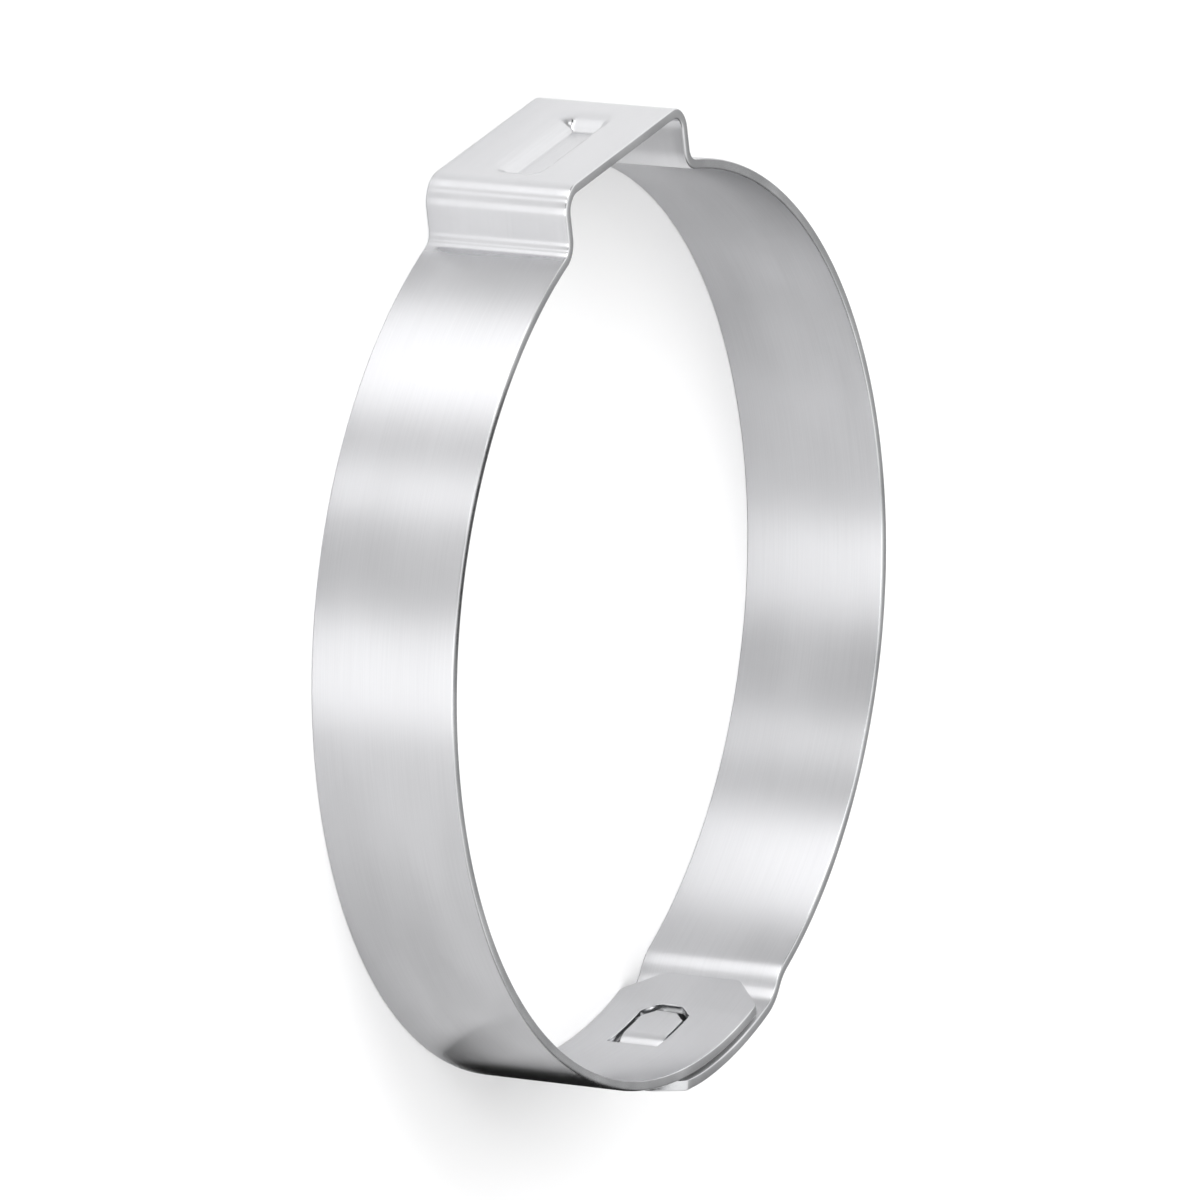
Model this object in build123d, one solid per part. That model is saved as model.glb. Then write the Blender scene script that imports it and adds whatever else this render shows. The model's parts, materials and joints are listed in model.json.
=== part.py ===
from build123d import *
import os
from math import acos, asin, atan2, cos, degrees, hypot, radians, sin, sqrt, tan

# Every length is in millimetres and every angle in degrees. The ring's axis is +Z, the middle of
# its width is at z = 0, and the ear stands out along +X. Angles are counted round +Z from +X.

# Strip and ring
BORE_RADIUS = 26.3
STRIP_THICKNESS = 0.6
STRIP_WIDTH = 9.0
EDGE_BREAK = 0.1

# Ear: the hump that is pinched to tighten the ring
EAR_OPENING = 13.9
EAR_HEIGHT = 2.5
EAR_CORNER_RADIUS = 1.0
EAR_FOOT_RADIUS = 0.85

# Stiffening dimple pressed into the ear's plate
DIMPLE_WIDTH = 3.9
DIMPLE_LEFT_MARGIN = 0.25
DIMPLE_RIGHT_MARGIN = 0.9
DIMPLE_DEPTH = 0.55
DIMPLE_SLOPE = 42.0
DIMPLE_CORNER = 1.3
DIMPLE_ROUND = 0.45
DIMPLE_SHIFT = -0.25

# Inner layer of the joint: the tongue that carries on from the ear's +Y side
TONGUE_ANGLE = 194.6
TONGUE_CHAMFER = 2.05
TONGUE_CORNER_ROUND = 0.8

# Outer layer of the joint: a step outwards, then the lap over the tongue
LAP_GAP = 0.3
LAP_REST_GAP = 0.05
LAP_LENGTH = 12.3
LAP_CLOSING_LENGTH = 4.2
LAP_CHAMFER = 1.6
LAP_CORNER_ROUND = 0.8
STEP_RADIUS = 2.9
STEP_CLEARANCE = 0.12

# Window in the tongue and the hook that stands in it
WINDOW_SETBACK = 3.1
WINDOW_LENGTH = 5.2
WINDOW_WIDTH = 3.2
WINDOW_CHAMFER = 0.9
WINDOW_SHIFT = -0.6
HOOK_LENGTH = 4.4
HOOK_SIDE_PLAY = 0.2
HOOK_END_PLAY = 0.65
HOOK_RECESS = 0.06
HOOK_BEND_RADIUS = 1.2
HOOK_CHAMFER = 0.7
HOOK_CORNER_ROUND = 0.4
HOOK_EDGE_BREAK = 0.08
HOOK_SLIT = 0.15

# What follows from the sizes above
HALF = STRIP_THICKNESS / 2
MID_RADIUS = BORE_RADIUS + HALF
OUTER_RADIUS = BORE_RADIUS + STRIP_THICKNESS
PLATE_TOP = OUTER_RADIUS + EAR_HEIGHT
PLATE_MID = PLATE_TOP - HALF
LEG_MID = EAR_OPENING / 2 + HALF
CORNER_MID = EAR_CORNER_RADIUS + HALF
FOOT_MID = EAR_FOOT_RADIUS + HALF
LAP_MID = OUTER_RADIUS + LAP_GAP + HALF
BAND_CENTRE = (0, 0)


def polar(radius, angle):
    """Point in the XY plane at a radius and an angle round the ring's axis."""
    return (radius * cos(radians(angle)), radius * sin(radians(angle)))


def corner_angle(near, far, opposite):
    """Angle between two sides of a triangle, from its three lengths."""
    return degrees(acos((near**2 + far**2 - opposite**2) / (2 * near * far)))


def heading(start, end):
    """Angle of the line from one point to another."""
    return degrees(atan2(end[1] - start[1], end[0] - start[0]))


def bend(centre, radius, start, end):
    """Arc that turns the short way from one angle to another."""
    return CenterArc(centre, radius, start, (end - start + 180) % 360 - 180)


def along(length, radius):
    """Angle that a length along an arc takes up."""
    return degrees(length / radius)


# Feet of the ear: tangent to the band and to the legs
FOOT_Y = LEG_MID + FOOT_MID
FOOT_X = sqrt((MID_RADIUS + FOOT_MID) ** 2 - FOOT_Y**2)
FOOT_ANGLE = degrees(asin(FOOT_Y / (MID_RADIUS + FOOT_MID)))

# Dimple: its underside stays on the flat between the ear's inner corners
DIMPLE_GROWTH = STRIP_THICKNESS * tan(radians(DIMPLE_SLOPE / 2))
FLAT_HALF = EAR_OPENING / 2 - EAR_CORNER_RADIUS
DIMPLE_LEFT = FLAT_HALF - DIMPLE_LEFT_MARGIN - DIMPLE_GROWTH
DIMPLE_RIGHT = FLAT_HALF - DIMPLE_RIGHT_MARGIN - DIMPLE_GROWTH
DIMPLE_LENGTH = DIMPLE_LEFT + DIMPLE_RIGHT
DIMPLE_Y = (DIMPLE_LEFT - DIMPLE_RIGHT) / 2

# Step: two equal arcs, placed so that the lap's inside clears the end of the tongue
STEP_OUTER_CENTRE = MID_RADIUS + STEP_RADIUS
STEP_INNER_CENTRE = LAP_MID - STEP_RADIUS
STEP_END = TONGUE_ANGLE - corner_angle(
    OUTER_RADIUS, STEP_INNER_CENTRE, STEP_RADIUS - HALF - STEP_CLEARANCE
)
STEP_START = STEP_END + corner_angle(STEP_OUTER_CENTRE, STEP_INNER_CENTRE, 2 * STEP_RADIUS)

# Closing bend: the last of the lap, curved tighter until it rests on the tongue
LAP_END = STEP_END - along(LAP_LENGTH, LAP_MID)
CLOSING_ANGLE = along(LAP_CLOSING_LENGTH, LAP_MID)
CLOSING_START = LAP_END + CLOSING_ANGLE
REST_RADIUS = OUTER_RADIUS + LAP_REST_GAP + HALF
CLOSING_OFFSET = (LAP_MID**2 - REST_RADIUS**2) / (
    2 * (LAP_MID - REST_RADIUS * cos(radians(CLOSING_ANGLE)))
)
CLOSING_RADIUS = LAP_MID - CLOSING_OFFSET
CLOSING_TURN = degrees(asin(REST_RADIUS * sin(radians(CLOSING_ANGLE)) / CLOSING_RADIUS))

# Window and hook
WINDOW_FAR = TONGUE_ANGLE - along(WINDOW_SETBACK, MID_RADIUS)
WINDOW_NEAR = WINDOW_FAR - along(WINDOW_LENGTH, MID_RADIUS)
HOOK_END = WINDOW_FAR - along(HOOK_END_PLAY, MID_RADIUS)
HOOK_START = HOOK_END - along(HOOK_LENGTH, MID_RADIUS)
HOOK_WIDTH = WINDOW_WIDTH - 2 * HOOK_SIDE_PLAY
HOOK_MID = MID_RADIUS + HOOK_RECESS


def left_of_ear(side):
    """Tongue, foot, leg and corner on the ear's +Y side, beside the middle line by `side`."""
    foot = (FOOT_X, FOOT_Y)
    corner = (PLATE_MID - CORNER_MID, LEG_MID - CORNER_MID)
    return [
        CenterArc(BAND_CENTRE, MID_RADIUS + side, TONGUE_ANGLE, FOOT_ANGLE - TONGUE_ANGLE),
        bend(foot, FOOT_MID - side, FOOT_ANGLE + 180, 270),
        Line((FOOT_X, LEG_MID + side), (corner[0], LEG_MID + side)),
        bend(corner, CORNER_MID + side, 90, 0),
    ]


def right_of_ear(side):
    """Corner, leg, foot and band on the ear's -Y side, as far as the step."""
    foot = (FOOT_X, -FOOT_Y)
    corner = (PLATE_MID - CORNER_MID, CORNER_MID - LEG_MID)
    band_turn = STEP_START - 360 + FOOT_ANGLE
    return [
        bend(corner, CORNER_MID + side, 0, -90),
        Line((corner[0], -LEG_MID - side), (FOOT_X, -LEG_MID - side)),
        bend(foot, FOOT_MID - side, 90, 180 - FOOT_ANGLE),
        CenterArc(BAND_CENTRE, MID_RADIUS + side, -FOOT_ANGLE, band_turn),
    ]


def step_line(from_radius, to_radius, bend_radius, start, turn, side):
    """Two equal arcs from one circle round the axis to another; `turn` is -1 or +1 round it."""
    out = 1 if to_radius > from_radius else -1
    first_reach = from_radius + out * bend_radius
    second_reach = to_radius - out * bend_radius
    end = start + turn * corner_angle(first_reach, second_reach, 2 * bend_radius)
    first = polar(first_reach, start)
    second = polar(second_reach, end)
    flip = 180 if out > 0 else 0
    return [
        bend(first, bend_radius - out * side, start + flip, heading(first, second)),
        bend(second, bend_radius + out * side, heading(second, first), end + 180 - flip),
    ], end


def lap_line(side):
    """Step outwards, lap over the tongue, and the bend that closes it."""
    step, end = step_line(MID_RADIUS, LAP_MID, STEP_RADIUS, STEP_START, -1, side)
    closing_centre = polar(CLOSING_OFFSET, CLOSING_START)
    return step + [
        CenterArc(BAND_CENTRE, LAP_MID + side, end, CLOSING_START - end),
        CenterArc(closing_centre, CLOSING_RADIUS + side, CLOSING_START, -CLOSING_TURN),
    ]


def strip_line(side):
    """Whole line of the strip, from the tongue's end to the lap's end."""
    plate_x = PLATE_MID + side
    plate_y = LEG_MID - CORNER_MID
    plate = Line((plate_x, plate_y), (plate_x, -plate_y))
    return left_of_ear(side) + [plate] + right_of_ear(side) + lap_line(side)


def strip_face(line):
    """Face between the two side lines that `line` gives."""
    outside = line(HALF)
    inside = line(-HALF)
    caps = [
        Line(outside[0] @ 0, inside[0] @ 0),
        Line(outside[-1] @ 1, inside[-1] @ 1),
    ]
    return make_face(outside + inside + caps)


def sector(inner, outer, start, end, low, high):
    """Block between two radii, two angles and two heights."""
    arcs = [
        CenterArc(BAND_CENTRE, inner, start, end - start),
        CenterArc(BAND_CENTRE, outer, start, end - start),
    ]
    sides = [Line(arcs[0] @ 0, arcs[1] @ 0), Line(arcs[0] @ 1, arcs[1] @ 1)]
    return Pos(0, 0, low) * extrude(make_face(arcs + sides), high - low)


def through_edges(solid, outside_end, inside_end, reach):
    """Edges that run through the strip's thickness, within reach of one of its ends."""
    middle = (Vector(*outside_end) + Vector(*inside_end)) * 0.5
    return [
        edge
        for edge in solid.edges()
        if (Vector(edge.center().X, edge.center().Y) - middle).length < reach
        and abs((edge @ 1).Z - (edge @ 0).Z) < EDGE_BREAK
        and abs(edge.length - STRIP_THICKNESS) < EDGE_BREAK / 2
        and abs(from_axis(edge @ 1) - from_axis(edge @ 0)) > HALF
    ]


def from_axis(point):
    """Distance of a point from the ring's axis."""
    return hypot(point.X, point.Y)


def shape_end(solid, outside_end, inside_end, setback, rounding):
    """Cut the two corners off one end of a strip, and round what the cuts leave."""
    solid = chamfer(through_edges(solid, outside_end, inside_end, HALF), setback)
    near = setback + STRIP_THICKNESS
    return fillet(through_edges(solid, outside_end, inside_end, near), rounding)


def soften(solid, width, setback):
    """Break the edges all along a strip, as rolling and deburring leave them."""
    outline = [
        edge
        for edge in solid.edges()
        if abs((edge @ 1).Z - (edge @ 0).Z) < width - setback
        and not (
            abs(edge.length - STRIP_THICKNESS) < setback / 2
            and abs(from_axis(edge @ 1) - from_axis(edge @ 0)) > HALF
        )
    ]
    return chamfer(outline, setback)


def folded_strip():
    """The whole strip, folded, with both ends shaped and its edges softened."""
    outside = strip_line(HALF)
    inside = strip_line(-HALF)
    strip = extrude(strip_face(strip_line), STRIP_WIDTH / 2, both=True)
    strip = shape_end(strip, outside[0] @ 0, inside[0] @ 0, TONGUE_CHAMFER, TONGUE_CORNER_ROUND)
    strip = shape_end(strip, outside[-1] @ 1, inside[-1] @ 1, LAP_CHAMFER, LAP_CORNER_ROUND)
    return soften(strip, STRIP_WIDTH, EDGE_BREAK)


def window_cutter():
    """Opening through the tongue alone, with its two far corners cut off."""
    low = WINDOW_SHIFT - WINDOW_WIDTH / 2
    high = WINDOW_SHIFT + WINDOW_WIDTH / 2
    hole = sector(BORE_RADIUS - STRIP_THICKNESS, OUTER_RADIUS + LAP_GAP / 2,
                  WINDOW_NEAR, WINDOW_FAR, low, high)
    far = Vector(*polar(MID_RADIUS, WINDOW_FAR))
    corners = [
        edge
        for edge in hole.edges()
        if (Vector(edge.center().X, edge.center().Y) - far).length < STRIP_THICKNESS
        and abs((edge @ 1).Z - (edge @ 0).Z) < EDGE_BREAK
        and abs(from_axis(edge @ 1) - from_axis(edge @ 0)) > HALF
    ]
    return chamfer(corners, WINDOW_CHAMFER)


def hook_slot():
    """Opening in the lap that the hook was cut from."""
    half_width = HOOK_WIDTH / 2 + HOOK_SLIT
    end = HOOK_END + along(HOOK_SLIT, LAP_MID)
    return sector(OUTER_RADIUS + LAP_GAP / 2, LAP_MID + STRIP_THICKNESS, HOOK_START, end,
                  WINDOW_SHIFT - half_width, WINDOW_SHIFT + half_width)


def hook_line(side):
    """Side line of the hook: its root in the lap, the step inwards, and its flat end."""
    root = HOOK_START - along(HALF, LAP_MID)
    step, level = step_line(LAP_MID, HOOK_MID, HOOK_BEND_RADIUS, HOOK_START, 1, side)
    return [
        CenterArc(BAND_CENTRE, LAP_MID + side, root, HOOK_START - root),
        *step,
        CenterArc(BAND_CENTRE, HOOK_MID + side, level, HOOK_END - level),
    ]


def hook():
    """Tab bent inwards out of the lap, through the tongue's window."""
    tab = extrude(strip_face(hook_line), HOOK_WIDTH / 2, both=True)
    outside = polar(HOOK_MID + HALF, HOOK_END)
    inside = polar(HOOK_MID - HALF, HOOK_END)
    tab = shape_end(tab, outside, inside, HOOK_CHAMFER, HOOK_CORNER_ROUND)
    tab = soften(tab, HOOK_WIDTH, HOOK_EDGE_BREAK)
    return Pos(0, 0, WINDOW_SHIFT) * tab


def dimple_form(top, growth):
    """Tapered form of the dimple, standing down from a height on the ear's plate."""
    place = Plane(
        origin=(top, DIMPLE_Y, DIMPLE_SHIFT),
        x_dir=(0, 1, 0),
        z_dir=(-1, 0, 0),
    )
    outline = RectangleRounded(
        DIMPLE_LENGTH + 2 * growth, DIMPLE_WIDTH + 2 * growth, DIMPLE_CORNER + growth
    )
    form = extrude(place * outline, DIMPLE_DEPTH, taper=90 - DIMPLE_SLOPE)
    bottom = form.faces().sort_by(Axis.X)[0]
    return fillet(bottom.edges(), DIMPLE_ROUND)


def hole_edges(solid, height):
    """Edges of the dimple's opening in the flat of the ear's plate at a height."""
    flats = [
        face
        for face in solid.faces()
        if abs(face.center().X - height) < EDGE_BREAK / 10 and face.inner_wires()
    ]
    return [edge for face in flats for wire in face.inner_wires() for edge in wire.edges()]


def press_dimple(strip):
    """Press the dimple into the ear's plate, with the sheet's thickness kept on its slopes."""
    under = PLATE_TOP - STRIP_THICKNESS
    strip = strip + dimple_form(under, DIMPLE_GROWTH)
    strip = fillet(hole_edges(strip, under), DIMPLE_ROUND)
    strip = strip - dimple_form(PLATE_TOP, 0)
    return fillet(hole_edges(strip, PLATE_TOP), DIMPLE_ROUND)


def clamp_band():
    """The clamp: one folded strip, hooked into itself under the ear's far side."""
    band = folded_strip() - window_cutter() - hook_slot()
    band = band + hook()
    return press_dimple(band)


os.makedirs("parts", exist_ok=True)
export_step(clamp_band(), "parts/clamp_band.step")
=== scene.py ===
"""Ear hose clamp: one steel strip, cut as a flat blank and folded, on a plain studio floor."""

import json
import logging
from dataclasses import dataclass, field
from enum import Enum
from math import acos, asin, atan2, cos, degrees, radians, sin, sqrt, tan

import bmesh
import bpy
from mathutils import Matrix, Vector


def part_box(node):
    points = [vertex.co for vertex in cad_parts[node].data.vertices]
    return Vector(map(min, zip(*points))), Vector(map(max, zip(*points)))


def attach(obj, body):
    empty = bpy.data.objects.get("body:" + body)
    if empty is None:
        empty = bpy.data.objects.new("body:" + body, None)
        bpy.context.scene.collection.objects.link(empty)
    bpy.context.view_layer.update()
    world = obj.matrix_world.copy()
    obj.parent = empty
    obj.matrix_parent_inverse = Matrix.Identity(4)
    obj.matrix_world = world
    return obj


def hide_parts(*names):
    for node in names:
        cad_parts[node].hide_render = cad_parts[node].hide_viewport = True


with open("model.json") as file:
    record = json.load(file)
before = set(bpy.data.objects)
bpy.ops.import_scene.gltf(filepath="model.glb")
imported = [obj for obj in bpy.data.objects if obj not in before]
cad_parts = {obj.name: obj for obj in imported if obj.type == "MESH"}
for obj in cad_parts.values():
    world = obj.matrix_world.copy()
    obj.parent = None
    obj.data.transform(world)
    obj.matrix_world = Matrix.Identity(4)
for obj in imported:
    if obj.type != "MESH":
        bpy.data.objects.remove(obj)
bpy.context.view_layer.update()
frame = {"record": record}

LOG = logging.getLogger("clamp")
MM = 0.001
AXIS = Vector((0, 0))
MAP_NAME = "grain"
MAP_SCALE = 0.1
CUT_TOLERANCE = 1e-4


class Surface(Enum):
    """Material slots of the folded strip."""

    SKIN = 0
    CUT_EDGE = 1


def polar(radius: float, angle: float) -> Vector:
    """Point at a radius and an angle in degrees round the ring's axis."""
    return Vector((radius * cos(radians(angle)), radius * sin(radians(angle))))


def heading(start: Vector, end: Vector) -> float:
    """Angle in degrees of the line from one point to another."""
    return degrees(atan2(end.y - start.y, end.x - start.x))


def corner_angle(near: float, far: float, opposite: float) -> float:
    """Angle in degrees between two sides of a triangle, from its three lengths."""
    return degrees(acos((near**2 + far**2 - opposite**2) / (2 * near * far)))


def short_turn(start: float, end: float) -> float:
    """Signed turn in degrees that leads the short way from one angle to another."""
    return (end - start + 180) % 360 - 180


@dataclass(frozen=True)
class Bend:
    """One arc of the strip's middle line.

    Args:
        centre: centre of the arc, in millimetres.
        radius: radius of the middle line.
        start: angle of the arc's first point, in degrees.
        turn: signed angle that the arc goes through.
        inner_centre: whether the centre lies on the strip's inner side.
    """

    centre: Vector
    radius: float
    start: float
    turn: float
    inner_centre: bool = True

    @property
    def length(self) -> float:
        """Length of the arc."""
        return radians(abs(self.turn)) * self.radius

    def place(self, along: float) -> tuple[Vector, Vector]:
        """Point and outward direction at a length along the arc.

        Args:
            along: length from the arc's first point.

        Returns:
            The point of the middle line, and the unit vector to the strip's outer side.
        """
        reach = polar(1, self.start + self.turn * along / self.length)
        return self.centre + reach * self.radius, reach if self.inner_centre else -reach

    def steps(self, coarse: float, turn: float) -> int:
        """Number of facets for a longest facet and a largest turn of one, in degrees."""
        return max(2, round(self.length / min(coarse, self.radius * radians(turn))))


@dataclass(frozen=True)
class Flat:
    """One straight run of the strip's middle line.

    Args:
        start: its first point, in millimetres.
        end: its last point.
        outward: unit vector to the strip's outer side.
        fineness: share of a bend's longest facet that its own facets may have.
    """

    start: Vector
    end: Vector
    outward: Vector
    fineness: float = 0.3

    @property
    def length(self) -> float:
        """Length of the run."""
        return (self.end - self.start).length

    def place(self, along: float) -> tuple[Vector, Vector]:
        """Point and outward direction at a length along the run."""
        return self.start.lerp(self.end, along / self.length), self.outward

    def steps(self, coarse: float, _turn: float) -> int:
        """Number of facets for a longest facet; a flat run has no turn to share out."""
        return max(2, round(self.length / (coarse * self.fineness)))


Run = Bend | Flat


@dataclass(frozen=True)
class MiddleLine:
    """The line half way through the strip's thickness, as a chain of bends and flats."""

    runs: list[Run]

    @property
    def length(self) -> float:
        """Length of the whole line."""
        return sum(run.length for run in self.runs)

    def start_of(self, run: Run) -> float:
        """Length at which one of the runs starts."""
        return sum(other.length for other in self.runs[: self.runs.index(run)])

    def place(self, along: float) -> tuple[Vector, Vector]:
        """Point and outward direction at a length along the line.

        Args:
            along: length from the line's first point.

        Returns:
            The point, and the unit vector to the strip's outer side.
        """
        for run in self.runs:
            if along <= run.length or run is self.runs[-1]:
                return run.place(min(max(along, 0.0), run.length))
            along -= run.length
        raise ValueError("a middle line has at least one run")

    def stations(self, coarse: float, turn: float) -> list[float]:
        """Lengths at which the strip is folded, from its start to its end.

        Args:
            coarse: longest facet.
            turn: largest turn of one facet, in degrees.

        Returns:
            The lengths, in order.
        """
        found = [0.0]
        for run in self.runs:
            count = run.steps(coarse, turn)
            start = found[-1]
            found += [start + run.length * (i + 1) / count for i in range(count)]
        return found


@dataclass(frozen=True)
class ClampSizes:
    """Sizes of the clamp, in millimetres and degrees."""

    bore_radius: float
    strip_width: float
    strip_thickness: float = 0.6
    edge_round: float = 0.1
    ear_opening: float = 13.9
    ear_height: float = 2.5
    ear_corner_radius: float = 1.0
    ear_foot_radius: float = 0.85
    dimple_width: float = 3.9
    dimple_left_margin: float = 0.25
    dimple_right_margin: float = 0.9
    dimple_depth: float = 0.75
    dimple_ease: float = 2.3
    dimple_shift: float = -0.25
    dimple_shoulder: float = 0.3
    dimple_low_run: float = 1.7
    dimple_high_run: float = 0.9
    dimple_end_run: float = 1.5
    tongue_angle: float = 194.6
    tongue_chamfer: float = 2.05
    tongue_corner_round: float = 0.8
    lap_gap: float = 0.3
    lap_rest_gap: float = 0.05
    lap_length: float = 12.3
    lap_closing_length: float = 4.2
    lap_chamfer: float = 1.6
    lap_corner_round: float = 0.8
    step_radius: float = 2.9
    step_clearance: float = 0.12
    window_setback: float = 3.1
    window_length: float = 5.2
    window_width: float = 3.2
    window_chamfer: float = 0.9
    window_shift: float = -0.6
    hook_length: float = 4.4
    hook_side_play: float = 0.2
    hook_end_play: float = 0.65
    hook_recess: float = 0.06
    hook_bend_radius: float = 1.2
    hook_chamfer: float = 0.7
    hook_slit: float = 0.24

    @property
    def half(self) -> float:
        """Half the strip's thickness."""
        return self.strip_thickness / 2

    @property
    def mid_radius(self) -> float:
        """Radius of the band's middle line."""
        return self.bore_radius + self.half

    @property
    def outer_radius(self) -> float:
        """Radius of the band's outer skin."""
        return self.bore_radius + self.strip_thickness

    @property
    def lap_mid(self) -> float:
        """Radius of the lap's middle line."""
        return self.outer_radius + self.lap_gap + self.half

    @property
    def plate_mid(self) -> float:
        """Distance of the ear plate's middle line from the axis."""
        return self.outer_radius + self.ear_height - self.half


@dataclass
class FoldPlan:
    """Where each run of the strip and of the hook lies, worked out from the sizes."""

    sizes: ClampSizes
    strip: MiddleLine = field(init=False)
    hook: MiddleLine = field(init=False)
    plate: Flat = field(init=False)
    lap: Bend = field(init=False)

    def __post_init__(self) -> None:
        """Lay out the strip from the tongue's end to the lap's end, then the hook."""
        left = self.left_of_ear()
        self.plate = self.plate_run()
        step, step_end = self.step(
            self.sizes.mid_radius, self.sizes.lap_mid, self.sizes.step_radius, self.step_start, -1
        )
        self.lap, closing = self.lap_runs(step_end)
        right = self.right_of_ear()
        self.strip = MiddleLine([*left, self.plate, *right, *step, self.lap, closing])
        self.hook = self.hook_runs()

    @property
    def step_end(self) -> float:
        """Angle at which the step has reached the lap.

        Returns:
            The angle, just past the tongue's end.
        """
        size = self.sizes
        reach = size.lap_mid - size.step_radius
        clear = size.step_radius - size.half - size.step_clearance
        return size.tongue_angle - corner_angle(size.outer_radius, reach, clear)

    @property
    def step_start(self) -> float:
        """Angle at which the step leaves the band.

        Returns:
            The angle, as far from the step's end as its two bends need.
        """
        size = self.sizes
        bend = size.step_radius
        return self.step_end + corner_angle(size.mid_radius + bend, size.lap_mid - bend, 2 * bend)

    def left_of_ear(self) -> list[Run]:
        """Tongue and band, foot, leg and corner on the ear's left side.

        Returns:
            The four runs, in the strip's order.
        """
        size = self.sizes
        leg = size.ear_opening / 2 + size.half
        corner_radius = size.ear_corner_radius + size.half
        foot_radius = size.ear_foot_radius + size.half
        foot_y = leg + foot_radius
        foot_x = sqrt((size.mid_radius + foot_radius) ** 2 - foot_y**2)
        foot_angle = degrees(asin(foot_y / (size.mid_radius + foot_radius)))
        corner = Vector((size.plate_mid - corner_radius, leg - corner_radius))
        return [
            Bend(AXIS, size.mid_radius, size.tongue_angle, foot_angle - size.tongue_angle),
            Bend(Vector((foot_x, foot_y)), foot_radius, foot_angle + 180, 90 - foot_angle, False),
            Flat(Vector((foot_x, leg)), Vector((corner.x, leg)), Vector((0, 1))),
            Bend(corner, corner_radius, 90, -90),
        ]

    def plate_run(self) -> Flat:
        """Flat plate of the ear.

        Returns:
            The run from the left corner to the right one.
        """
        size = self.sizes
        reach = size.ear_opening / 2 - size.ear_corner_radius
        ends = Vector((size.plate_mid, reach)), Vector((size.plate_mid, -reach))
        return Flat(*ends, Vector((1, 0)))

    def right_of_ear(self) -> list[Run]:
        """Corner, leg, foot and band on the ear's right side, mirrored from the left one.

        Returns:
            The four runs, in the strip's order.
        """
        band, foot, leg, corner = self.left_of_ear()
        flip = Vector((1, -1))
        foot_angle = band.start + band.turn
        return [
            Bend(corner.centre * flip, corner.radius, 0, -90),
            Flat(leg.end * flip, leg.start * flip, leg.outward * flip),
            Bend(foot.centre * flip, foot.radius, 90, 90 - foot_angle, False),
            Bend(AXIS, band.radius, -foot_angle, self.step_start - 360 + foot_angle),
        ]

    def step(
        self, from_radius: float, to_radius: float, bend: float, start: float, turn: int
    ) -> tuple[list[Run], float]:
        """Two equal bends that lead from one circle round the axis to another.

        Args:
            from_radius: radius of the circle that the step leaves.
            to_radius: radius of the circle that it reaches.
            bend: radius of both bends.
            start: angle at which it starts.
            turn: +1 or -1, the way it goes round the axis.

        Returns:
            The two bends, and the angle at which the step ends.
        """
        out = 1 if to_radius > from_radius else -1
        first_reach = from_radius + out * bend
        second_reach = to_radius - out * bend
        end = start + turn * corner_angle(first_reach, second_reach, 2 * bend)
        first, second = polar(first_reach, start), polar(second_reach, end)
        first_angle = start + (180 if out > 0 else 0)
        second_angle = heading(second, first)
        first_turn = short_turn(first_angle, heading(first, second))
        second_turn = short_turn(second_angle, end + (0 if out > 0 else 180))
        return [
            Bend(first, bend, first_angle, first_turn, out < 0),
            Bend(second, bend, second_angle, second_turn, out > 0),
        ], end

    def lap_runs(self, start: float) -> tuple[Bend, Bend]:
        """The lap over the tongue, and the bend that closes it.

        Args:
            start: angle at which the lap starts.

        Returns:
            The lap's two bends.
        """
        size = self.sizes
        end = start - degrees(size.lap_length / size.lap_mid)
        closing = degrees(size.lap_closing_length / size.lap_mid)
        rest = size.outer_radius + size.lap_rest_gap + size.half
        drop = size.lap_mid - rest * cos(radians(closing))
        offset = (size.lap_mid**2 - rest**2) / (2 * drop)
        radius = size.lap_mid - offset
        turn = degrees(asin(rest * sin(radians(closing)) / radius))
        bend_start = end + closing
        return (
            Bend(AXIS, size.lap_mid, start, bend_start - start),
            Bend(polar(offset, bend_start), radius, bend_start, -turn),
        )

    def ear_span(self) -> tuple[float, float]:
        """Lengths along the strip between which the ear stands.

        Returns:
            The lengths of its first foot's start and its second foot's end.
        """
        foot = self.strip.runs[1]
        start = self.strip.start_of(foot)
        return start, 2 * self.strip.start_of(self.plate) + self.plate.length - start

    def hook_angles(self) -> tuple[float, float]:
        """Angles of the hook's hinge and of its free end.

        Returns:
            The two angles, in degrees.
        """
        size = self.sizes
        window_far = size.tongue_angle - degrees(size.window_setback / size.mid_radius)
        end = window_far - degrees(size.hook_end_play / size.mid_radius)
        return end - degrees(size.hook_length / size.mid_radius), end

    def hook_runs(self) -> MiddleLine:
        """Middle line of the hook, from its hinge in the lap to its free end.

        Returns:
            The line: two bends inwards, then the tip that lies in the window.
        """
        size = self.sizes
        level = size.mid_radius + size.hook_recess
        start, end = self.hook_angles()
        step, step_end = self.step(size.lap_mid, level, size.hook_bend_radius, start, 1)
        return MiddleLine([*step, Bend(AXIS, level, step_end, end - step_end)])

    def lap_station(self, angle: float) -> float:
        """Length along the strip at an angle of the lap."""
        return self.strip.start_of(self.lap) + radians(self.lap.start - angle) * self.lap.radius


@dataclass(frozen=True)
class Zone:
    """Stretch of the flat blank: lengths along the strip, and heights across it."""

    start: float
    end: float
    low: float
    high: float

    def holds(self, point: Vector) -> bool:
        """Whether a point of the blank lies in the zone."""
        return self.start < point.x < self.end and self.low < point.y < self.high

    def grown(self, by: float) -> "Zone":
        """The zone with a margin all round."""
        return Zone(self.start - by, self.end + by, self.low - by, self.high + by)


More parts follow.
